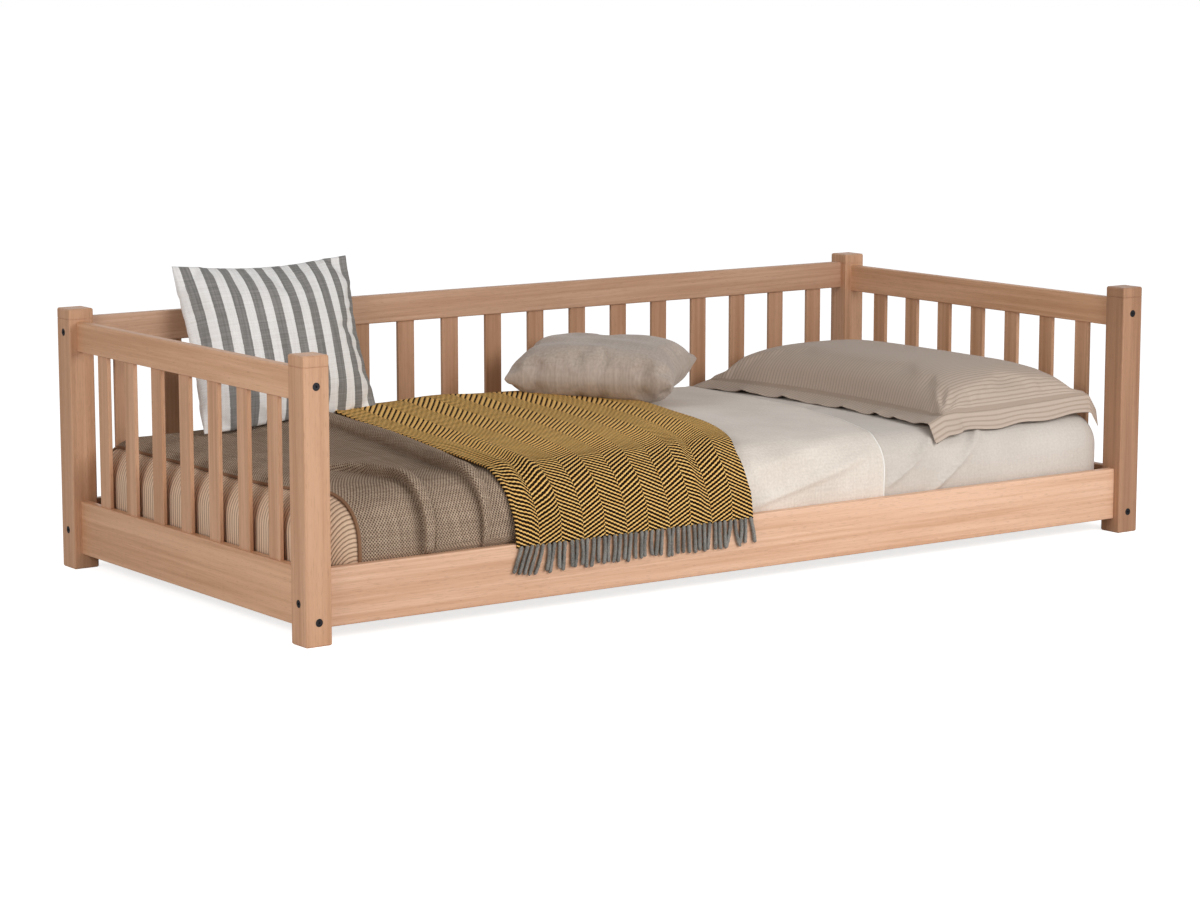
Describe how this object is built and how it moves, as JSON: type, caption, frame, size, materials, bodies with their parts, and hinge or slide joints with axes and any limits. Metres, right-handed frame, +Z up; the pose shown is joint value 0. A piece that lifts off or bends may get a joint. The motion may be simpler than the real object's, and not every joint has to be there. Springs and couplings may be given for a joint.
{
  "type": "kids bed",
  "caption": "Low wooden kids bed with slatted guard panels on three sides and an open front, made up with mattress, sheets, blanket, fringed throw, pillows and a striped cushion.",
  "frame": {"origin": "on the floor, at the middle of the rectangle that the outer faces of the posts make", "axes": "+X along the bed to the head end, +Y across the bed to the back guard panel, +Z up"},
  "size_m": [2.09, 0.99, 0.6106],
  "materials": {
    "frame_wood": "satin lacquer over fine straight grain",
    "base_wood": "planed, unfinished",
    "dowel_wood": "turned, unfinished",
    "black_steel": "black oxide, satin",
    "zinc_steel": "bright zinc plate",
    "tape": "woven cotton webbing",
    "ticking": "knitted mattress cover",
    "sheet_cotton": "plain cotton sateen",
    "cover_rib": "fine ribbed cotton",
    "top_cotton": "plain cotton sateen with a pale hem",
    "blanket_waffle": "small waffle weave",
    "throw_wool": "herringbone wool",
    "fringe_wool": "twisted wool yarn",
    "pillow_stripe": "satin with fine stripes",
    "pillow_plain": "washed linen",
    "cushion_stripe": "canvas with broad woven stripes"
  },
  "bodies": {
    "root": {"post_foot_front": "frame_wood", "post_foot_rear": "frame_wood", "post_head_front": "frame_wood", "post_head_rear": "frame_wood", "front_rail": "frame_wood", "back_low_rail": "frame_wood", "back_top_rail": "frame_wood", "foot_low_rail": "frame_wood", "foot_top_rail": "frame_wood", "head_low_rail": "frame_wood", "head_top_rail": "frame_wood", "foot_slat_1": "frame_wood", "foot_slat_2": "frame_wood", "foot_slat_3": "frame_wood", "foot_slat_4": "frame_wood", "foot_slat_5": "frame_wood", "foot_slat_6": "frame_wood", "foot_slat_7": "frame_wood", "head_slat_1": "frame_wood", "head_slat_2": "frame_wood", "head_slat_3": "frame_wood", "head_slat_4": "frame_wood", "head_slat_5": "frame_wood", "head_slat_6": "frame_wood", "head_slat_7": "frame_wood", "back_slat_1": "frame_wood", "back_slat_2": "frame_wood", "back_slat_3": "frame_wood", "back_slat_4": "frame_wood", "back_slat_5": "frame_wood", "back_slat_6": "frame_wood", "back_slat_7": "frame_wood", "back_slat_8": "frame_wood", "back_slat_9": "frame_wood", "back_slat_10": "frame_wood", "back_slat_11": "frame_wood", "back_slat_12": "frame_wood", "back_slat_13": "frame_wood", "back_slat_14": "frame_wood", "back_slat_15": "frame_wood", "back_slat_16": "frame_wood", "back_slat_17": "frame_wood", "connector_bolts": "black_steel", "barrel_nuts": "zinc_steel", "locating_dowels": "dowel_wood", "front_cleat": "base_wood", "back_cleat": "base_wood", "cleat_screws": "zinc_steel", "base_slats": "base_wood", "base_tapes": "tape", "mattress": "ticking", "fitted_sheet": "sheet_cotton", "foot_cover": "cover_rib", "top_sheet": "top_cotton", "blanket": "blanket_waffle", "throw": "throw_wool", "throw_fringe": "fringe_wool", "large_pillow": "pillow_stripe", "small_pillow": "pillow_plain", "striped_cushion": "cushion_stripe"}
  },
  "joints": []
}
